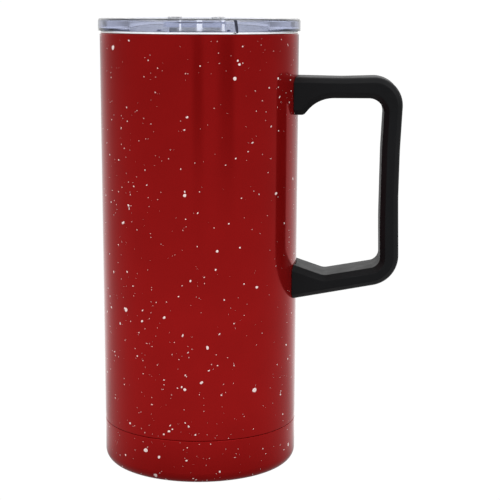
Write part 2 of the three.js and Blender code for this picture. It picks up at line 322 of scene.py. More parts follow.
def white_paint():
    """Splattered enamel, a little uneven in tone."""
    f = Finish("white_paint", IOR=1.35)
    tone = f.colours(f.noise(1500, 2), (0.99, 0.78, 0.75), (1.0, 0.86, 0.83))
    return f.set(Base_Color=tone, Roughness=f.spread(f.noise(400, 2), 0.15, 0.3))


def polished_steel():
    """Stainless steel with fine turning lines round the axis."""
    f = Finish("polished_steel", Metallic=1.0)
    tone = f.colours(f.noise(40, 3), (0.88, 0.87, 0.86), (0.94, 0.93, 0.92))
    rings = f.noise(1, 3, 0.7, f.stretched((20, 20, 6000)))
    return f.set(Base_Color=tone, Roughness=f.spread(rings, 0.10, 0.22), Normal=f.bump(rings, 0.000002))


def brushed_steel():
    """Stainless steel inside the cup: satin, with finishing lines round the axis."""
    f = Finish("brushed_steel", Metallic=0.6)
    tone = f.colours(f.noise(30, 4), (0.64, 0.63, 0.62), (0.72, 0.71, 0.69))
    rings = f.noise(1, 4, 0.7, f.stretched((30, 30, 4000)))
    return f.set(Base_Color=tone, Roughness=f.spread(rings, 0.25, 0.42), Normal=f.bump(rings, 0.000008))


def plated_screw():
    f = Finish("plated_screw", Metallic=1.0)
    tone = f.colours(f.noise(700, 3), (0.42, 0.42, 0.43), (0.55, 0.55, 0.56))
    return f.set(Base_Color=tone, Roughness=f.spread(f.noise(900, 2), 0.25, 0.4))


def crinkled_foil():
    f = Finish("crinkled_foil", Metallic=1.0)
    tone = f.colours(f.noise(80, 3), (0.74, 0.70, 0.66), (0.86, 0.83, 0.80))
    crinkle = f.bump(f.noise(260, 5), 0.0004)
    return f.set(Base_Color=tone, Roughness=f.spread(f.noise(120, 2), 0.12, 0.3), Normal=crinkle)


def black_plastic():
    """Satin moulded plastic with a fine spark-eroded grain."""
    f = Finish("black_plastic", IOR=1.26)
    tone = f.colours(f.noise(70, 3), (0.0030, 0.0032, 0.0040), (0.0045, 0.0047, 0.0058))
    grain = f.bump(f.noise(2600, 3), 0.00003)
    return f.set(Base_Color=tone, Roughness=f.spread(f.noise(160, 3), 0.48, 0.58), Normal=grain)


def black_rubber():
    f = Finish("black_rubber", IOR=1.4)
    tone = f.colours(f.noise(90, 4), (0.010, 0.010, 0.010), (0.022, 0.021, 0.020))
    grain = f.bump(f.noise(1400, 3), 0.00006)
    return f.set(Base_Color=tone, Roughness=f.spread(f.noise(300, 3), 0.6, 0.8), Normal=grain)


CLEAR_TINT = (0.71, 0.735, 0.84, 1)


def silicone(name, glow):
    """Translucent white silicone; glow is painted light, an emission that stands in for the light the
    silicone picks up inside the clear lid round it.
    """
    f = Finish(name, IOR=1.41, Transmission_Weight=0.1, Emission_Color=(1, 1, 1, 1), Emission_Strength=glow)
    tone = f.colours(f.noise(120, 3), (0.90, 0.91, 0.93), (0.95, 0.96, 0.98))
    return f.set(Base_Color=tone, Roughness=f.spread(f.noise(500, 2), 0.35, 0.5))


def clear_plastic(name, density):
    """Clear plastic with a smoky blue tint, deeper where more of it is looked through."""
    f = Finish(name, IOR=1.5, Transmission_Weight=1.0)
    tone = f.colours(f.noise(25, 2), (0.94, 0.95, 0.96), (0.97, 0.975, 0.985))
    flow = f.bump(f.noise(90, 2), 0.00002)
    tint = f.nodes.new("ShaderNodeVolumeAbsorption")
    tint.inputs["Color"].default_value = CLEAR_TINT
    tint.inputs["Density"].default_value = density
    f.links.new(tint.outputs["Volume"], f.nodes["Material Output"].inputs["Volume"])
    return f.set(Base_Color=tone, Roughness=f.spread(f.noise(60, 2), 0.02, 0.06), Normal=flow)


def index_ink():
    f = Finish("index_ink", IOR=1.45)
    tone = f.colours(f.noise(600, 2), (0.030, 0.032, 0.055), (0.045, 0.048, 0.075))
    return f.set(Base_Color=tone, Roughness=f.spread(f.noise(500, 2), 0.3, 0.45))


PAINT = red_paint()
SPLATTER = white_paint()
LIP_STEEL = polished_steel()
CUP_STEEL = brushed_steel()
SCREW_STEEL = plated_screw()
FOIL = crinkled_foil()
BLACK = black_plastic()
RUBBER = black_rubber()
SILICONE = silicone("silicone", 0.0)
# The tabs' silicone glows at 0.6: painted light in place of the light they pick up inside the clear lid.
TAB_SILICONE_PAINTED_GLOW = silicone("tab_silicone_painted_glow", 0.6)
CLEAR = clear_plastic("clear_plastic", 85)
CLEAR_THIN = clear_plastic("clear_thin_plastic", 35)  # the drink cover's, with less of the tint
INK = index_ink()


def dress(obj, material, body, slot, *nodes):
    """Gives a piece its material and body, and hides the CAD nodes that it stands for; slot is not used."""
    weigh_normals(obj)
    obj.data.materials.clear()
    obj.data.materials.append(material)
    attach(obj, body)
    if nodes:
        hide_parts(*nodes)
    return obj


def repaint(node, material):
    """A CAD node that stays gets a better material."""
    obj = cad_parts[node]
    obj.data.materials.clear()
    obj.data.materials.append(material)


# ---- camera, floor and light -----------------------------------------------------------

VIEW_TURN = Matrix.Rotation(math.radians(2.9), 4, "Z")  # the mug stands a little turned to the camera
EYE = (0.02142, -0.598, 0.1940)
PITCH, ROLL = 9.74, 0.22  # degrees
LENS = 101.95


def camera():
    data = bpy.data.cameras.new("camera")
    data.sensor_width = 36.0
    data.lens = LENS
    data.clip_start = 0.01
    data.clip_end = 100
    cam = bpy.data.objects.new("camera", data)
    bpy.context.scene.collection.objects.link(cam)
    cam.matrix_world = (
        VIEW_TURN
        @ Matrix.Translation(EYE)
        @ Matrix.Rotation(math.radians(90 - PITCH), 4, "X")
        @ Matrix.Rotation(math.radians(ROLL), 4, "Z")
    )
    bpy.context.scene.camera = cam


SOFTBOXES = {"softbox_left": (-0.75, -0.85, 0.95), "softbox_right": (0.75, -0.85, 0.95)}
SOFTBOX_SIDE = 0.9
SOFTBOX_POWER = 3.2
LIT_SPOT = (0, 0, 0.1)  # what the softboxes face


def softbox(name, place):
    data = bpy.data.lights.new(name, "AREA")
    data.shape = "SQUARE"
    data.size = SOFTBOX_SIDE
    data.energy = SOFTBOX_POWER
    light = bpy.data.objects.new(name, data)
    bpy.context.scene.collection.objects.link(light)
    facing = (Vector(LIT_SPOT) - Vector(place)).to_track_quat("-Z", "Y").to_matrix().to_4x4()
    light.matrix_world = VIEW_TURN @ Matrix.Translation(place) @ facing


# Brightness of the light from below, by bearing in degrees: 0 is straight behind, 180 in front, + is +X.
FLOOR_LEVELS = [
    (-180, 0.50), (-70, 0.52), (-61, 0.54), (-51, 0.66), (-39, 0.84), (-20, 0.95),
    (20, 0.95), (39, 0.84), (51, 0.66), (61, 0.54), (70, 0.52), (180, 0.50),
]
# The same by distance from the mug's axis, in metres: dark where the mug shades the table.
FLOOR_FALLOFF = [
    (0.0, 0.45), (0.045, 0.5), (0.056, 0.65), (0.085, 0.95), (0.105, 1.15), (0.18, 1.25),
    (0.37, 1.2), (0.6, 1.02), (1.1, 0.92), (2.0, 0.8), (5.0, 0.68), (12.0, 0.68),
]
# Brighter beside and behind the mug's foot: by bearing, then by distance.
NEAR_SIDES = [
    (-180, 0), (-150, 0), (-125, 0.25), (-95, 0.7), (-73, 1.6), (-54, 2.2), (-28, 2.4), (0, 2.4),
    (28, 2.4), (54, 2.2), (73, 1.6), (95, 0.7), (125, 0.25), (150, 0), (180, 0),
]
NEAR_REACH = [
    (0.0, 0), (0.041, 0.2), (0.047, 1), (0.055, 1.1), (0.065, 0.8), (0.08, 0.25), (0.1, 0), (12.0, 0),
]
# Darker streaks far out: two in front, where nobody lit the studio, and one straight behind.
STREAKS = [
    (-180, 0.62), (-177, 0.62), (-172, 0), (-11, 0), (-7, 0.7), (7, 0.7), (11, 0),
    (136, 0), (142, 0.62), (152, 0.52), (161, 0), (172, 0), (177, 0.62), (180, 0.62),
]
STREAK_REACH = [(0.0, 0), (0.45, 0), (0.9, 0.15), (1.6, 0.95), (3.0, 1.4), (12.0, 1.4)]
# Brightness of the light from the surround: by the direction's height, and added behind the mug.
SKY_LEVELS = [(-1.0, 0.4), (0.0, 0.42), (0.12, 0.5), (0.35, 1.0), (1.0, 1.0)]
BEHIND_LEVELS = [(-1.0, 0), (0.3, 0), (0.75, 0.6), (1.0, 0.6)]

# The studio's sizes, in millimetres
FLOOR_RADIUS, FLOOR_HEIGHT = 12000, -0.06
BACKDROP_RADIUS, BACKDROP_TOP = 11500, 11500
BOUNCE_RADIUS, BOUNCE_HEIGHT = 11000, -0.03
WHITE_LEVEL = 1.02  # emission of what the camera sees of the floor and the backdrop


class Glow:
    """Short calls for the nodes of the floor's and the surround's brightness."""

    def __init__(self, tree):
        self.nodes, self.links = tree.nodes, tree.links

    def math(self, operation, *values):
        node = self.nodes.new("ShaderNodeMath")
        node.operation = operation
        for socket, value in zip(node.inputs, values):
            if isinstance(value, (int, float)):
                socket.default_value = value
            else:
                self.links.new(value, socket)
        return node.outputs["Value"]

    def axes(self, vector):
        split = self.nodes.new("ShaderNodeSeparateXYZ")
        self.links.new(vector, split.inputs["Vector"])
        return split.outputs

    def curve(self, value, points):
        """A smooth curve through (value, level) points."""
        low, high = points[0][0], points[-1][0]
        share = self.nodes.new("ShaderNodeMapRange")
        share.inputs["From Min"].default_value = low
        share.inputs["From Max"].default_value = high
        self.links.new(value, share.inputs["Value"])
        node = self.nodes.new("ShaderNodeFloatCurve")
        curve = node.mapping.curves[0]
        node.mapping.clip_max_y = 4
        spots = [((x - low) / (high - low), level) for x, level in points]
        curve.points[0].location = spots[0]
        curve.points[1].location = spots[-1]
        for spot in spots[1:-1]:
            curve.points.new(*spot)
        for point in curve.points:
            point.handle_type = "VECTOR"
        node.mapping.update()
        self.links.new(share.outputs["Result"], node.inputs["Value"])
        return node.outputs["Value"]

    def bearing(self, vector):
        """Degrees round the vertical axis from +Y towards +X."""
        x, y, _ = self.axes(vector)
        return self.math("MULTIPLY", self.math("ARCTAN2", x, y), 180 / math.pi)


def glowing(name):
    """A material that gives off white light, with its node tree and its emission node."""
    material = bpy.data.materials.new(name)
    material.use_nodes = True
    tree = material.node_tree
    tree.nodes.remove(tree.nodes["Principled BSDF"])
    emission = tree.nodes.new("ShaderNodeEmission")
    tree.links.new(emission.outputs["Emission"], tree.nodes["Material Output"].inputs["Surface"])
    return material, tree, emission


def disc(name, radius, height):
    obj = revolve(name, [(0, height, 0), (radius, height, 0)], segments=ROUGH)
    return obj


def only_for_camera(obj, material):
    obj.data.materials.append(material)
    obj.visible_diffuse = obj.visible_glossy = obj.visible_transmission = False


def bounce_light():
    """The light that a large lit table throws back at the mug, from a disc that the camera doesn't see."""
    obj = disc("bounce_light", BOUNCE_RADIUS, BOUNCE_HEIGHT)
    material, tree, emission = glowing("bounce")
    glow = Glow(tree)
    place = tree.nodes.new("ShaderNodeTexCoord").outputs["Object"]
    x, y, _ = glow.axes(place)
    distance = glow.math("SQRT", glow.math("ADD", glow.math("MULTIPLY", x, x), glow.math("MULTIPLY", y, y)))
    bearing = glow.bearing(place)
    level = glow.math("MULTIPLY", glow.curve(bearing, FLOOR_LEVELS), glow.curve(distance, FLOOR_FALLOFF))
    streak = glow.math("MULTIPLY", glow.curve(bearing, STREAKS), glow.curve(distance, STREAK_REACH))
    near = glow.math("MULTIPLY", glow.curve(bearing, NEAR_SIDES), glow.curve(distance, NEAR_REACH))
    shown = glow.math("ADD", glow.math("SUBTRACT", 1, streak), near)
    tree.links.new(glow.math("MULTIPLY", level, shown), emission.inputs["Strength"])
    obj.data.materials.append(material)
    obj.visible_camera = False
    obj.matrix_world = VIEW_TURN


def surround():
    """Soft light from all round, stronger from above and from behind."""
    world = bpy.data.worlds.new("surround")
    world.use_nodes = True
    bpy.context.scene.world = world
    background = world.node_tree.nodes["Background"]
    glow = Glow(world.node_tree)
    direction = world.node_tree.nodes.new("ShaderNodeTexCoord").outputs["Generated"]
    _, away, height = glow.axes(direction)
    level = glow.math("ADD", glow.curve(away, BEHIND_LEVELS), glow.curve(height, SKY_LEVELS))
    glow.links.new(level, background.inputs["Strength"])
    background.inputs["Color"].default_value = (1, 1, 1, 1)


def studio():
    """A plain pale floor and backdrop, which only the camera sees, and the light."""
    white, _, emission = glowing("pale_floor")
    emission.inputs["Strength"].default_value = WHITE_LEVEL
    only_for_camera(disc("floor", FLOOR_RADIUS, FLOOR_HEIGHT), white)
    wall = [(BACKDROP_RADIUS, FLOOR_HEIGHT, 0), (BACKDROP_RADIUS, BACKDROP_TOP, 0)]
    backdrop = revolve("backdrop", wall, segments=ROUGH)
    only_for_camera(backdrop, white)
    bounce_light()
    surround()
    for name, place in SOFTBOXES.items():
        softbox(name, place)
    bpy.context.scene.view_settings.view_transform = "Standard"
    bpy.context.scene.view_settings.look = "None"


# ---- painted steel cup -------------------------------------------------------------------

def outer_shell():
    """The painted wall. Its mouth is stepped and turned in under the liner's lip."""
    low = SEAM + SEAM_HALF
    neck = LINER_RADIUS + SHEET + PLAY
    skirt = BASE_RADIUS - 0.5
    step, ledge, under = SHELL_TOP - 0.58, SHELL_TOP - 0.24, SHELL_TOP - 0.95
    obj = revolve("shell_wall", [
        (skirt, CAP_LOW + CAP_EDGE, 0),
        (skirt, low - 0.1, 0.1),
        (body_radius(low), low, 0.3),
        (MOUTH_RADIUS, step, 0.1),
        (MOUTH_RADIUS - 0.45, step, 0),
        (MOUTH_RADIUS - 0.45, ledge, 0),
        (neck, ledge, 0),
        (neck, under, 0),
        (MOUTH_RADIUS - SHEET, under, 0.3),
        (body_radius(low) - 1.0, low, 0),
        (skirt - SHEET, CAP_LOW + CAP_EDGE, 0),
    ], ring=True)
    return dress(obj, PAINT, "cup", "red_paint", "outer_shell")


def base_cap():
    """The painted cup below the seam, with a recess for the foot pad."""
    top = SEAM - SEAM_HALF
    recess = PAD_RADIUS + PLAY
    roof = PAD_TOP + PLAY
    wall = 0.45
    obj = revolve("base_cup", [
        (0, roof, 0),
        (recess, roof, 0.2),
        (recess, CAP_LOW, 0.3),
        (BASE_RADIUS, CAP_LOW, CAP_EDGE),
        (body_radius(top), top, 0.2),
        (body_radius(top) - wall, top, 0),
        (BASE_RADIUS - wall, CAP_LOW + wall, CAP_EDGE - wall),
        (recess + wall, CAP_LOW + wall, 0),
        (recess + wall, roof + wall, 0),
        (0, roof + wall, 0),
    ], step=6)
    return dress(obj, PAINT, "cup", "red_paint", "base_cap")


RING_FIRST, RING_PITCH, RING_MARGIN = 6.0, 5.0, 4.0  # the foot pad's moulded rings
RING_WIDTH, RING_DEPTH, RING_SLOPE, RING_FILLET = 1.5, 0.35, 0.3, 0.15


def foot_pad():
    """A rubber disc with shallow moulded rings in its underside."""
    rings = []
    radius = RING_FIRST
    while radius < PAD_RADIUS - RING_MARGIN:
        for across, depth in (
            (0, 0), (RING_SLOPE, RING_DEPTH), (RING_WIDTH - RING_SLOPE, RING_DEPTH), (RING_WIDTH, 0)
        ):
            rings.append((radius + across, depth, RING_FILLET))
        radius += RING_PITCH
    profile = [(0, 0, 0), *rings, (PAD_RADIUS, 0, 0.4), (PAD_RADIUS, PAD_TOP, 0.2), (0, PAD_TOP, 0)]
    obj = revolve("foot_disc", profile, step=30)
    return dress(obj, RUBBER, "cup", "black_rubber", "foot_pad")


BRIGHT_LIP = 1.5  # the depth of the polished stretch inside the mouth


def inner_liner():
    """The steel cup, with a rolled lip whose bead shows as a bright line under the lid."""
    outer = LINER_RADIUS + SHEET
    bead_low = SHELL_TOP - 0.2
    bead_top = LID_SEAT - 0.02
    obj = revolve("steel_liner", [
        (outer, LINER_LOW, 0),
        (outer, bead_low, 0),
        (LIP_RADIUS + 0.05, bead_low, 0.25),
        (LIP_RADIUS - 0.25, bead_top, 0.35),
        (LINER_RADIUS, bead_top, 1.2),
        (LINER_RADIUS, LINER_LOW, 0),
    ], ring=True, step=8)
    dress(obj, LIP_STEEL, "cup", "polished_steel", "inner_liner")
    obj.data.materials.append(CUP_STEEL)
    for face in obj.data.polygons:
        inward = face.normal.x * face.center.x + face.normal.y * face.center.y < 0
        face.material_index = 1 if inward and face.center.z < (SHELL_TOP - BRIGHT_LIP) * MM else 0
    return obj


# ---- handle ---------------------------------------------------------------------------------

ARM_ROOT = 36.0
HANDLE_CHAMFER = 2.2
FRONT_SOFT = 0.5  # rounding between the chamfer and the flat front
INNER_SOFT, OUTER_SOFT = 0.5, 3.0  # rounding of the chamfer's other edge, round the fingers and outside
HANDLE_OUTLINE = [
    (ARM_ROOT, 150.1, 0),
    (44.0, 150.1, 2),
    (49.9, 157.05, 14),
    (77.3, 157.1, 6.3),
    (76.38, 135.5, 150),
    (76.1, 106.5, 200),
    (76.5, 86.95, 4.5),
    (52.95, 82.8, 6),
    (ARM_ROOT, 88.6, 0),
    (ARM_ROOT, 71.8, 0),
    (84.45, 80.75, 12.7),
    (83.65, 116.0, 150),
    (83.92, 135.5, 150),
    (85.3, 166.25, 11.8),
    (60.0, 165.45, 60),
    (ARM_ROOT, 165.85, 0),
]
FIRST_OUTSIDE = 9  # the corners from here on are outside, those before round the fingers

# Handle mounts, screws and plugs
ARM_SPAN = (60.0, 175.0)  # heights between which the arms meet the cup
MOUNT_ROOT = 30.0  # the mounts' recesses start inside the cup
PAD_REACH = 1.6  # from the cup's wall to the far side of a mount's pad
TONGUE_HALF, TONGUE_HEIGHT = 6.0, 2.9
TONGUE_ABOVE_PLUG = 3.4
SCREW_X = 47.5
PLUG_RADIUS, PLUG_HEIGHT, PLUG_PLAY = 2.8, 1.4, 0.12
WELL_BELOW, WELL_ABOVE = 12.0, 3.0  # the well's reach from the plug's top
PLUGS = {name: corner(f"plug_{name}", 1, "z") for name in ("upper", "lower")}  # their tops


def inset(corners, distances):
    """The outline moved inward, each corner by its own distance, with rounder or sharper arcs."""
    count = len(corners)
    spots = [Vector(c[:2]) for c in corners]
    area = sum(spots[i - 1].cross(spots[i]) for i in range(count))
    side = 1 if area > 0 else -1
    moved = []
    for i, (x, y, radius) in enumerate(corners):
        distance = distances[i]
        before = (spots[i] - spots[i - 1]).normalized()
        after = (spots[(i + 1) % count] - spots[i]).normalized()
        n0, n1 = Vector((-before.y, before.x)) * side, Vector((-after.y, after.x)) * side
        shift = (n0 + n1) / (1 + n0.dot(n1)) * distance
        convex = before.cross(after) * side > 0
        fillet = 0 if radius == 0 else max(0.05, radius + (-distance if convex else distance))
        moved.append((x + shift.x, y + shift.y, fillet))
    return moved


def handle_section(soft):
    """The section's outline as (inset, y), from the flat front to the flat back."""
    half = HANDLE_HALF
    c = HANDLE_CHAMFER
    corners = [(c + 0.9, -half, 0), (c, -half, FRONT_SOFT), (0, -half + c, soft), (0, 0, 0)]
    front = [(p.x, p.y) for p in rounded(corners, 12, closed=False)]
    return front + [(d, -y) for d, y in reversed(front[:-1])]


def handle_rings():
    """Rings of vertices from the handle's front to its back, all with the same number of points."""
    counts = []
    for i, (_, _, radius) in enumerate(HANDLE_OUTLINE):
        turn = math.pi - 2 * corner_directions(HANDLE_OUTLINE, i)[2]
        counts.append(max(2, arc_steps(turn, 4)) if radius else 0)
    rings = []
    for inner, outer in zip(handle_section(INNER_SOFT), handle_section(OUTER_SOFT)):
        spots = [inner if i < FIRST_OUTSIDE else outer for i in range(len(HANDLE_OUTLINE))]
        loop = rounded(inset(HANDLE_OUTLINE, [distance for distance, _ in spots]), counts=counts)
        depths = [y for (_, y), steps in zip(spots, counts) for _ in range(steps + 1)]
        rings.append([(p.x, y, p.y) for p, y in zip(loop, depths)])
    return rings


def handle():
    """The black loop, its arms cut back to the cup's wall and hollowed for mounts, screws and plugs."""
    verts, rows = [], []
    for ring in handle_rings():
        rows.append(list(range(len(verts), len(verts) + len(ring))))
        verts += ring
    faces = [rows[0][::-1], rows[-1]]
    for low, high in zip(rows, rows[1:]):
        count = len(low)
        faces += [[low[k], low[(k + 1) % count], high[(k + 1) % count], high[k]] for k in range(count)]
    obj = add_object("handle_loop", verts, faces, 50)
    low, high = ARM_SPAN
    wall = [(body_radius(z) + ARM_GAP, z, 0) for z in ARM_SPAN]
    cup = revolve("cup_space", [(0, low, 0), *wall, (0, high, 0)])
    wells = [
        post(f"well_{name}", PLUG_RADIUS + PLUG_PLAY, top - WELL_BELOW, top + WELL_ABOVE, SCREW_X)
        for name, top in PLUGS.items()
    ]
    combine(obj, [cup, *wells], crease=28)
    combine(obj, [pad_recess(name) for name in PLUGS], crease=28)
    return dress(obj, BLACK, "cup", "black_plastic", "handle")


def pad_recess(name):
    """The space in an arm's end for the mount's pad and tongue."""
    mount = f"mount_{name}"
    side = corner(mount, 1, "y") + PLAY
    root = block("pad_space", (MOUNT_ROOT, -side, corner(mount, 0, "z") - PLAY),
                 (body_radius(165) + PAD_REACH, side, corner(mount, 1, "z") + PLAY))
    tongue = PLUGS[name] + TONGUE_ABOVE_PLUG
    half = TONGUE_HALF + PLAY
    slot = block("tongue_space", (MOUNT_ROOT, -half, tongue - PLAY),
                 (corner(mount, 1, "x") + PLAY, half, tongue + TONGUE_HEIGHT + PLAY))
    return combine(root, [slot], "UNION")


def screw_plug(name):
    """A rubber plug, domed, in the well under the arm."""
    top = PLUGS[name]
    low = top - PLUG_HEIGHT
    obj = revolve(f"plug_cap_{name}", [
        (0, low, 0), (PLUG_RADIUS, low, 0.5), (PLUG_RADIUS, top, 0.2), (0, top, 0)], segments=48)
    obj.data.transform(Matrix.Translation((SCREW_X * MM, 0, 0)))
    return dress(obj, RUBBER, "cup", "black_rubber", f"plug_{name}")


# ---- lid ----------------------------------------------------------------------------------------

DECK_TOP = 184.2
DECK = 2.0
BOWL_RADIUS = 29.4
RIM_INNER = 29.8
PLUG_WALL_RADIUS = 35.9
PLUG_WALL = 2.6
GROOVE_LOW, GROOVE_HIGH, GROOVE_DEPTH = 178.6, 182.2, 1.2
DRINK_Y, DRINK_LENGTH, DRINK_WIDTH = -19.5, 14.0, 8.0
VENT_Y, VENT_RADIUS = 24.5, 1.2
RAIL_THICK, RAIL_HEIGHT, RAIL_FRONT, RAIL_BACK = 1.2, 0.7, -24.0, 24.0

# Sliding drink cover
TRAVEL = 16.0
SLIDE_PLAY = 0.4  # at the cover's sides and the stem's
COVER_HALF, COVER_FRONT, COVER_BACK = 11.6, -26.0, 4.5
COVER_LOW, COVER_TOP = 185.7, 188.2
COVER_CORNER = 6.0
GRIP_INNER, GRIP_OUTER, GRIP_FRONT, GRIP_BACK = 6.6, 11.0, -23.0, -7.0
GRIP_CORNER = 1.5
RIB_PITCH = 2.0  # of the grooves across the grips
CUT_DEPTH, CUT_HALF_ACROSS, CUT_HALF_ALONG = 0.6, 0.4, 0.35
CUT_INSET = 1.4  # of the grooves along the grips
STEM_HALF, STEM_FRONT, STEM_BACK = 2.0, -2.0, 2.5
SEAL_HALF, SEAL_FRONT, SEAL_BACK, SEAL_CORNER = 9.4, -25.1, -13.9, 4.0
SEAL_TABS = [(-4.7, 0.5), (2.3, 1.9), (10.8, 0.9)]  # place and width of the seal's upturned tabs
TAB_TOP, TAB_THICK = 187.2, 0.9
TAB_GAP = 0.2  # between the tabs and the cover
BRIDGE_HEIGHT, BRIDGE_THICK = 0.5, 0.6
CLIP_HALF, CLIP_FRONT, CLIP_BACK, CLIP_CORNER = 5.5, -5.5, 6.0, 2.0
CLIP_PLAY = 0.05
SEAL_PLAY = 0.02
OVERLAP = 0.5  # of shapes that are joined
BEYOND = 1.0  # reach of a cutting shape past what it cuts


def both_sides(low, high):
    """A stretch along X, on either side of the middle."""
    return (-high, -low), (low, high)


def lid_profile():
    groove = PLUG_WALL_RADIUS - GROOVE_DEPTH
    inside = PLUG_WALL_RADIUS - PLUG_WALL
    under = DECK_TOP - DECK
    return [
        (0, DECK_TOP, 0),
        (BOWL_RADIUS, DECK_TOP, 0.15),
        (RIM_INNER, RIM_TOP, 0.5),
        (RIM_RADIUS, RIM_TOP, 1.3),
        (RIM_RADIUS, LID_SEAT, 0.06),
        (PLUG_WALL_RADIUS, LID_SEAT, 0.2),
        (PLUG_WALL_RADIUS, GROOVE_HIGH, 0.1),
        (groove, GROOVE_HIGH, 0.1),
        (groove, GROOVE_LOW, 0.1),
        (PLUG_WALL_RADIUS, GROOVE_LOW, 0.1),
        (PLUG_WALL_RADIUS, PLUG_WALL_LOW, 0.6),
        (inside, PLUG_WALL_LOW, 0.6),
        (inside, under, 0.8),
        (0, under, 0),
    ]


def lid_rails():
    rail = COVER_HALF + SLIDE_PLAY
    return [
        block("rail", (low, RAIL_FRONT, DECK_TOP - OVERLAP), (high, RAIL_BACK, DECK_TOP + RAIL_HEIGHT))
        for low, high in both_sides(rail, rail + RAIL_THICK)
    ]


def lid_openings():
    """The drink hole, the stem's slot and the vent."""
    below, above = DECK_TOP - DECK - BEYOND, DECK_TOP + BEYOND
    half_length, half_width = DRINK_LENGTH / 2, DRINK_WIDTH / 2
    hole = rectangle(-half_length, DRINK_Y - half_width, half_length, DRINK_Y + half_width, half_width - 0.01)
    slot = STEM_HALF + SLIDE_PLAY
    return [
        prism("drink_hole", hole, below, above),
        block("slot", (-slot, STEM_FRONT - 0.5, below), (slot, STEM_BACK + TRAVEL + 0.5, above)),
        post("vent", VENT_RADIUS, below, above, 0, VENT_Y),
    ]


def lid_body():
    """The clear lid in one moulding: rim, recess, deck with its rails and openings, and plug wall."""
    obj = revolve("lid_disc", lid_profile(), segments=LID_FINE, step=12)
    combine(obj, lid_rails(), "UNION")
    combine(obj, lid_openings())
    return dress(obj, CLEAR, "lid", "clear_plastic", "lid_body")


def lid_gasket():
    """A silicone ring with two ribs, in the plug wall's groove."""
    back = PLUG_WALL_RADIUS - GROOVE_DEPTH + 0.05
    face = PLUG_WALL_RADIUS - 0.1
    rib = LINER_RADIUS - 0.05
    low, high = GROOVE_LOW + 0.1, GROOVE_HIGH - 0.1
    obj = revolve("gasket_ring", [
        (back, low, 0), (face, low, 0.2), (rib, low + 0.7, 0.25), (face, low + 1.4, 0.3),
        (face, high - 1.4, 0.3), (rib, high - 0.7, 0.25), (face, high, 0.2), (back, high, 0),
    ], ring=True, segments=LID_FINE, step=20)
    return dress(obj, SILICONE, "lid", "silicone", "lid_gasket")


def grip_cuts():
    """Grooves across the two thumb grips and along them."""
    top, past = GRIP_TOP - CUT_DEPTH, GRIP_TOP + BEYOND
    length = GRIP_BACK - GRIP_FRONT
    count = int(length / RIB_PITCH)
    cuts = []
    for i in range(1, count):
        y = GRIP_FRONT + length * i / count
        low = (-GRIP_OUTER - BEYOND, y - CUT_HALF_ACROSS, top)
        cuts.append(block("cut", low, (GRIP_OUTER + BEYOND, y + CUT_HALF_ACROSS, past)))
    for x in (GRIP_INNER + CUT_INSET, GRIP_OUTER - CUT_INSET):
        for low, high in both_sides(x - CUT_HALF_ALONG, x + CUT_HALF_ALONG):
            cuts.append(block("cut", (low, GRIP_FRONT - BEYOND, top), (high, GRIP_BACK + BEYOND, past)))
    return cuts


def slider():
    """The drink cover: a plate with two ribbed thumb grips, and its stem."""
    outline = rectangle(-COVER_HALF, COVER_FRONT, COVER_HALF, COVER_BACK, COVER_CORNER)
    obj = prism("cover_plate", outline, COVER_LOW, COVER_TOP)
    parts = [block("stem", (-STEM_HALF, STEM_FRONT, STEM_LOW), (STEM_HALF, STEM_BACK, COVER_LOW + OVERLAP))]
    for low, high in both_sides(GRIP_INNER, GRIP_OUTER):
        foot = COVER_TOP - OVERLAP
        parts.append(block("grip", (low, GRIP_FRONT, foot), (high, GRIP_BACK, GRIP_TOP), GRIP_CORNER))
    combine(obj, parts, "UNION")
    combine(obj, grip_cuts())
    soften(obj, 0.1)
    return dress(obj, CLEAR_THIN, "drink_cover", "clear_plastic", "slider")


def slider_seal():
    """The pad that closes the drink hole, with tabs turned up in front of the cover."""
    low, high = DECK_TOP + SEAL_PLAY, COVER_LOW - SEAL_PLAY
    obj = block("seal_pad", (-SEAL_HALF, SEAL_FRONT, low), (SEAL_HALF, SEAL_BACK, high), SEAL_CORNER)
    front = COVER_FRONT - TAB_GAP
    bridge = low + BRIDGE_HEIGHT
    left, right = SEAL_TABS[0][0], SEAL_TABS[-1][0] + 0.4
    parts = [block("bridge", (left, front - BRIDGE_THICK, low), (right, SEAL_FRONT + 1.6, bridge))]
    for x, width in SEAL_TABS:
        foot = (x - width / 2, front - TAB_THICK, low + 0.1)
        parts.append(block("tab", foot, (x + width / 2, front, TAB_TOP)))
    combine(obj, parts, "UNION")
    soften(obj, 0.12)
    dress(obj, SILICONE, "drink_cover", "silicone", "slider_seal")
    # The tabs' faces in front of the cover and above the bridge get the glowing silicone: painted light, not
    # a lamp.
    obj.data.materials.append(TAB_SILICONE_PAINTED_GLOW)
    for face in obj.data.polygons:
        if face.center.y < front * MM and face.center.z > bridge * MM:
            face.material_index = 1
    return obj


def slider_clip():
    """The retainer on the stem, under the deck."""
    low, high = corner("slider_clip", 0, "z"), corner("slider_clip", 1, "z")
    obj = block("stem_clip", (-CLIP_HALF, CLIP_FRONT, low), (CLIP_HALF, CLIP_BACK, high), CLIP_CORNER)
    half = STEM_HALF + CLIP_PLAY
    hole_low = (-half, STEM_FRONT - CLIP_PLAY, low - BEYOND)
    combine(obj, [block("stem_hole", hole_low, (half, STEM_BACK + CLIP_PLAY, high + BEYOND))])
    soften(obj, 0.2)
    return dress(obj, CLEAR_THIN, "drink_cover", "clear_plastic", "slider_clip")


MARK_BEARING = 24.9  # degrees from the front, towards +X
MARK_WIDTH = 1.2
MARK_FOOT = 0.55  # share of the width that is left at the mark's foot
MARK_LEAN = 0.4
MARK_SUNK, MARK_PROUD = 0.06, 0.07
MARK_COLUMNS, MARK_ROWS = 8, 12


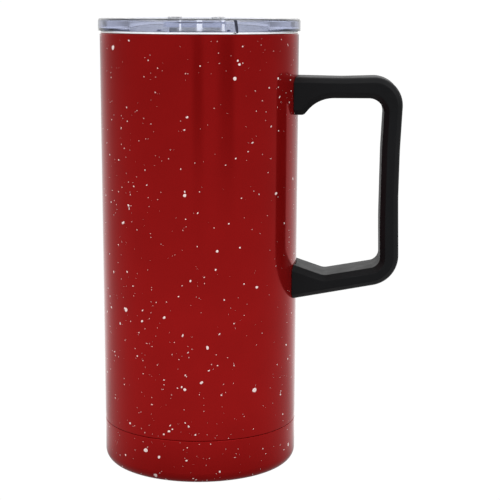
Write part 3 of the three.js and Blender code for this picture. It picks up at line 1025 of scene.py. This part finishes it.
def mark_point(radius, i, j):
    """A point of the mark's grid, i steps across and j steps up."""
    t = j / MARK_ROWS
    low, high = LID_SEAT - 0.4, RIM_TOP - 0.6
    width = MARK_WIDTH * (MARK_FOOT + (1 - MARK_FOOT) * min(1.0, 4 * t))
    across = MARK_LEAN * (1 - 2 * t) + width * (i / MARK_COLUMNS - 0.5)
    a = math.radians(MARK_BEARING - 90) + across / RIM_RADIUS
    return radius * math.cos(a), radius * math.sin(a), low + (high - low) * t


def index_mark():
    """A dark line on the rim that shows where the drink hole is, a little askew."""
    columns, rows = MARK_COLUMNS, MARK_ROWS
    sides = (RIM_RADIUS - MARK_SUNK, RIM_RADIUS + MARK_PROUD)
    verts = [mark_point(r, i, j) for r in sides for j in range(rows + 1) for i in range(columns + 1)]
    size = (rows + 1) * (columns + 1)

    def at(side, j, i):
        return side * size + j * (columns + 1) + i

    faces = []
    for j in range(rows):
        for i in range(columns):
            for side in (0, 1):
                faces.append([at(side, j, i), at(side, j, i + 1), at(side, j + 1, i + 1), at(side, j + 1, i)])
    edge = [(0, i) for i in range(columns)] + [(j, columns) for j in range(rows)]
    edge += [(rows, i) for i in range(columns, 0, -1)] + [(j, 0) for j in range(rows, 0, -1)]
    for here, after in zip(edge, edge[1:] + edge[:1]):
        faces.append([at(0, *here), at(0, *after), at(1, *after), at(1, *here)])
    return dress(add_object("index_mark", verts, faces), INK, "lid", "black_plastic")


# ---- paint splatter --------------------------------------------------------------------------------

SPLATTER_SEED = 11
DROPS_PER_MM2 = 0.041
DROP_MEDIAN = 0.27  # diameter
DROP_SPREAD = 0.69
DROP_LEAST, DROP_LARGEST = 0.12, 2.0
LONG_DROPS = 0.12  # share of drops that are drawn out along the throw
CLUSTERS = 26
CLUSTER_REACH = (8, 22)
CLUSTERED = 0.4  # share of drops that fall in a cluster
ANY_TURN = 6.3  # a full turn and a little more
MOST_LOBES, MOST_RIPPLE = 0.28, 0.12  # how uneven an ordinary drop's outline is at most
LONG_LOBES = (0.3, 0.5)  # how far a long drop is drawn out
THROW_TURN = -1.4  # and which way, give or take


def cup_profile():
    """The painted outline as (radius, z, outward normal) by arc length, base to mouth."""
    samples = []
    centre = (BASE_RADIUS - CAP_EDGE, CAP_LOW + CAP_EDGE)
    for k in range(31):
        a = math.radians(-90 + 3 * k)
        samples.append((centre[0] + CAP_EDGE * math.cos(a), centre[1] + CAP_EDGE * math.sin(a), a))
    z = CAP_LOW + CAP_EDGE
    while z < SHELL_TOP - 1.0:
        z += 0.5
        samples.append((body_radius(z), z, 0.0))
    return samples


def free_of_fittings(x, y, z, size, pads):
    """Drops keep off the seam and off the handle's pads."""
    if abs(z - SEAM) < SEAM_HALF + 0.3 + size:
        return False
    beside = x > 0 and abs(y) < HANDLE_HALF + 1 + size
    return not (beside and any(low - size < z < high + size for low, high in pads))


def landing(draw, clusters, total):
    """Where a drop lands: the angle round the cup, and the length along the outline."""
    if draw.random() < CLUSTERED:
        angle, along, reach = draw.choice(clusters)
        return angle + draw.gauss(0, reach) / MOUTH_RADIUS, along + draw.gauss(0, reach)
    return draw.uniform(0, 2 * math.pi), draw.uniform(0, total)


def drop_form(draw):
    """A drop's radius, and how much and which way its outline is drawn out and rippled."""
    size = min(DROP_LARGEST, max(DROP_LEAST, DROP_MEDIAN * math.exp(draw.gauss(0, DROP_SPREAD)))) / 2
    shape = [draw.uniform(0, most) for most in (MOST_LOBES, ANY_TURN, MOST_RIPPLE, ANY_TURN)]
    if draw.random() < LONG_DROPS:
        shape[:2] = draw.uniform(*LONG_LOBES), THROW_TURN + draw.gauss(0, 0.5)
    return size, shape


def splatter():
    """Flat drops of white enamel thrown on the red paint, each with its own uneven outline."""
    draw = random.Random(SPLATTER_SEED)
    profile = cup_profile()
    lengths = [0.0]
    for (r0, z0, _), (r1, z1, _) in zip(profile, profile[1:]):
        lengths.append(lengths[-1] + math.hypot(r1 - r0, z1 - z0))
    total = lengths[-1]
    count = int(total * 2 * math.pi * MOUTH_RADIUS * DROPS_PER_MM2)
    pads = [(corner(f"mount_{name}", 0, "z") - 0.8, corner(f"mount_{name}", 1, "z") + 0.8) for name in PLUGS]
    clusters = [
        (draw.uniform(0, 2 * math.pi), draw.uniform(0, total), draw.uniform(*CLUSTER_REACH))
        for _ in range(CLUSTERS)
    ]
    verts, faces = [], []
    for _ in range(count):
        angle, along = landing(draw, clusters, total)
        size, shape = drop_form(draw)
        if not 0.6 < along < total - 0.8:
            continue
        r, z, tilt = profile[bisect.bisect_left(lengths, along)]
        out = Vector((math.cos(angle) * math.cos(tilt), math.sin(angle) * math.cos(tilt), math.sin(tilt)))
        centre = Vector((math.cos(angle) * r, math.sin(angle) * r, z))
        if free_of_fittings(centre.x, centre.y, centre.z, size, pads):
            add_drop(verts, faces, centre, out, angle, size, shape)
    obj = add_object("paint_splatter", verts, faces, 80)
    return dress(obj, SPLATTER, "cup", "red_paint")


def add_drop(verts, faces, centre, out, angle, size, shape):
    """A low dome with an uneven outline, its rim sunk just under the paint."""
    across = Vector((-math.sin(angle), math.cos(angle), 0))
    up = out.cross(across)
    steps = 12 if size > 0.25 else 8
    height = min(0.03, 0.12 * size)
    start = len(verts)
    lobes, lobe_turn, ripple, ripple_turn = shape
    bend = 1 / (2 * MOUTH_RADIUS)
    for share, lift in ((1.0, -0.02), (0.93, 0.6 * height), (0.6, height)):
        for k in range(steps):
            a = 2 * math.pi * k / steps
            swell = 1 + lobes * math.cos(2 * a + lobe_turn) + ripple * math.cos(3 * a + ripple_turn)
            reach = size * share * swell
            u, v = reach * math.cos(a), reach * math.sin(a)
            verts.append(centre + across * u + up * v + out * (lift - u * u * bend))
    verts.append(centre + out * height * 1.1)
    verts.append(centre - out * 0.05)
    top, bottom = start + 3 * steps, start + 3 * steps + 1
    for k in range(steps):
        n = (k + 1) % steps
        for ring in range(2):
            a, b = start + ring * steps, start + (ring + 1) * steps
            faces.append([a + k, a + n, b + n, b + k])
        faces.append([start + 2 * steps + k, start + 2 * steps + n, top])
        faces.append([start + n, start + k, bottom])


# ---- everything together --------------------------------------------------------------------------------

camera()
studio()
outer_shell()
base_cap()
foot_pad()
inner_liner()
handle()
for place in PLUGS:
    repaint(f"mount_{place}", PAINT)
    screw_plug(place)
    repaint(f"screw_{place}", SCREW_STEEL)
repaint("liner_bottom", CUP_STEEL)
repaint("vacuum_bottom", CUP_STEEL)
repaint("getter", CUP_STEEL)
repaint("foil_wrap", FOIL)
lid_body()
lid_gasket()
slider()
slider_seal()
slider_clip()
index_mark()
splatter()
